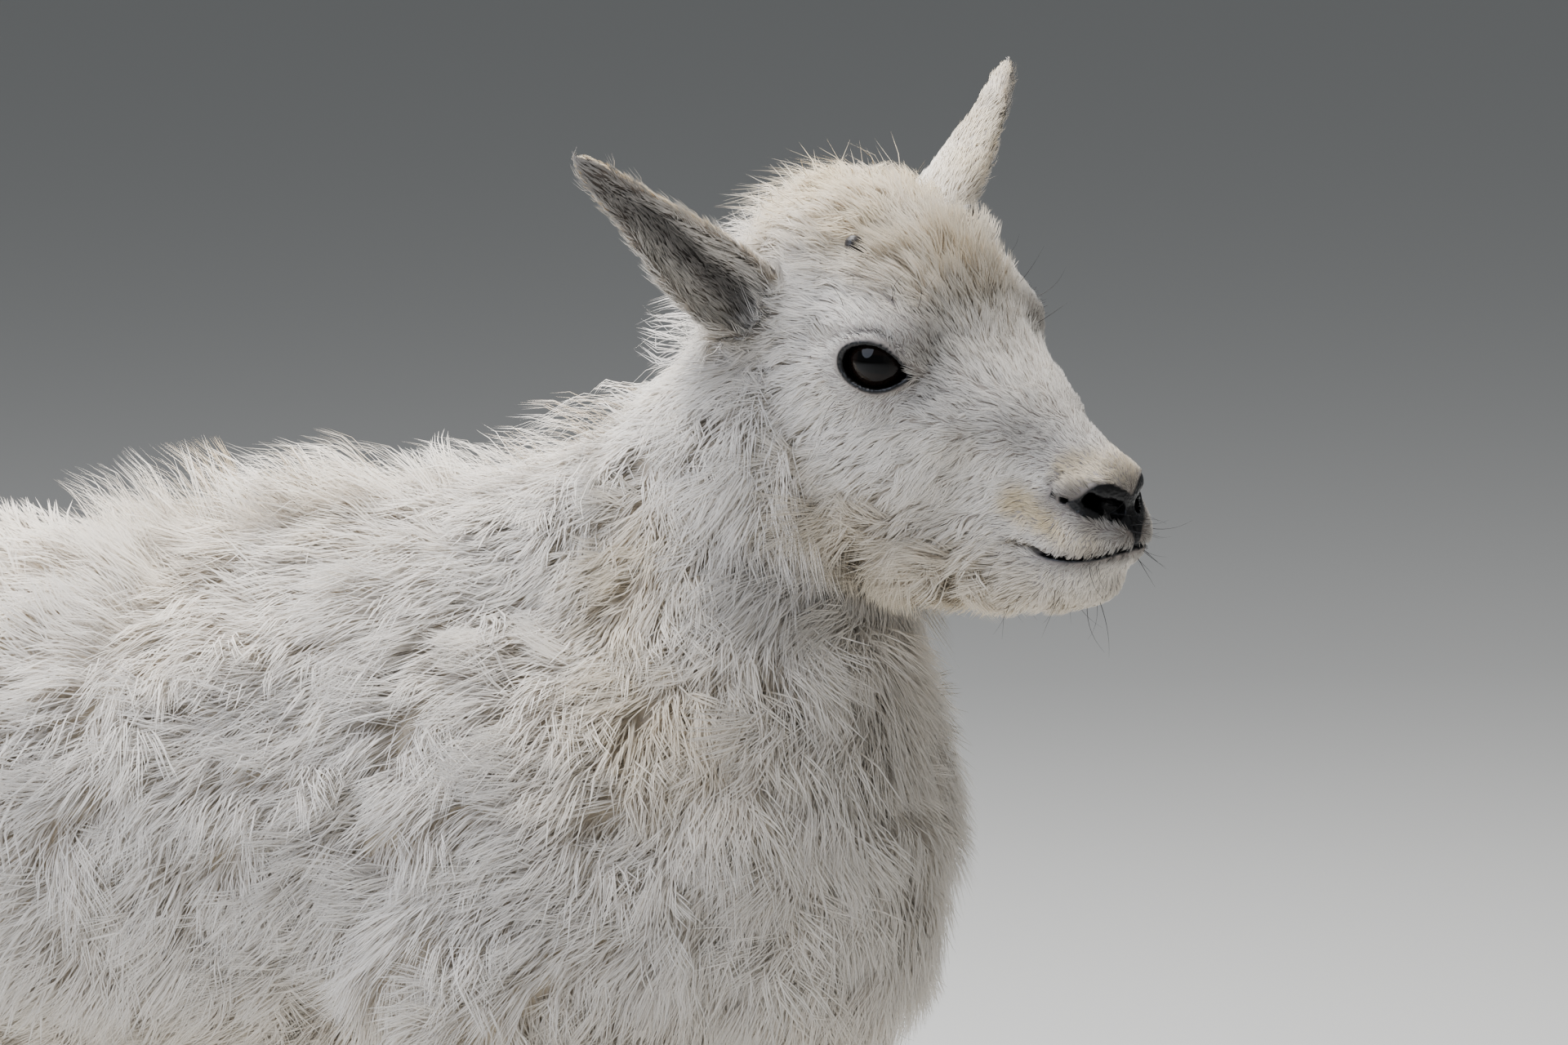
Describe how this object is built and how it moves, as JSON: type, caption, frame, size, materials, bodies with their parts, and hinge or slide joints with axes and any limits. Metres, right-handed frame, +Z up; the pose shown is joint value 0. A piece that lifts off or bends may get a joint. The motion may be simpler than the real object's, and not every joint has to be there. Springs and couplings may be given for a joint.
{
  "type": "mountain goat kid",
  "caption": "A young woolly mountain goat standing on four hoofed legs, with a crested back, long pointed ears, horn buds and its head turned to its right",
  "frame": {"origin": "on the floor under the middle of the outline's box", "axes": "+X from the rump to the chest, +Y to the animal's left, +Z up"},
  "size_m": [0.6506, 0.2267, 0.6206],
  "materials": {
    "coat": "woolly creamy-white hair in locks",
    "ear": "short hair, grey inside the cup",
    "eye": "wet and glossy",
    "hoof": "dull black horn",
    "horn": "dull dark horn"
  },
  "bodies": {
    "root": {"ear_left": "ear", "ear_right": "ear", "eye_left": "eye", "eye_right": "eye", "foreleg_left_claw_inner": "hoof", "foreleg_left_claw_outer": "hoof", "foreleg_left_dewclaw_inner": "hoof", "foreleg_left_dewclaw_outer": "hoof", "foreleg_left_lower": "coat", "foreleg_left_upper": "coat", "foreleg_right_claw_inner": "hoof", "foreleg_right_claw_outer": "hoof", "foreleg_right_dewclaw_inner": "hoof", "foreleg_right_dewclaw_outer": "hoof", "foreleg_right_lower": "coat", "foreleg_right_upper": "coat", "head": "coat", "hindleg_left_claw_inner": "hoof", "hindleg_left_claw_outer": "hoof", "hindleg_left_dewclaw_inner": "hoof", "hindleg_left_dewclaw_outer": "hoof", "hindleg_left_lower": "coat", "hindleg_left_upper": "coat", "hindleg_right_claw_inner": "hoof", "hindleg_right_claw_outer": "hoof", "hindleg_right_dewclaw_inner": "hoof", "hindleg_right_dewclaw_outer": "hoof", "hindleg_right_lower": "coat", "hindleg_right_upper": "coat", "horn_bud_left": "horn", "horn_bud_right": "horn", "neck": "coat", "tail": "coat", "torso": "coat"}
  },
  "joints": []
}
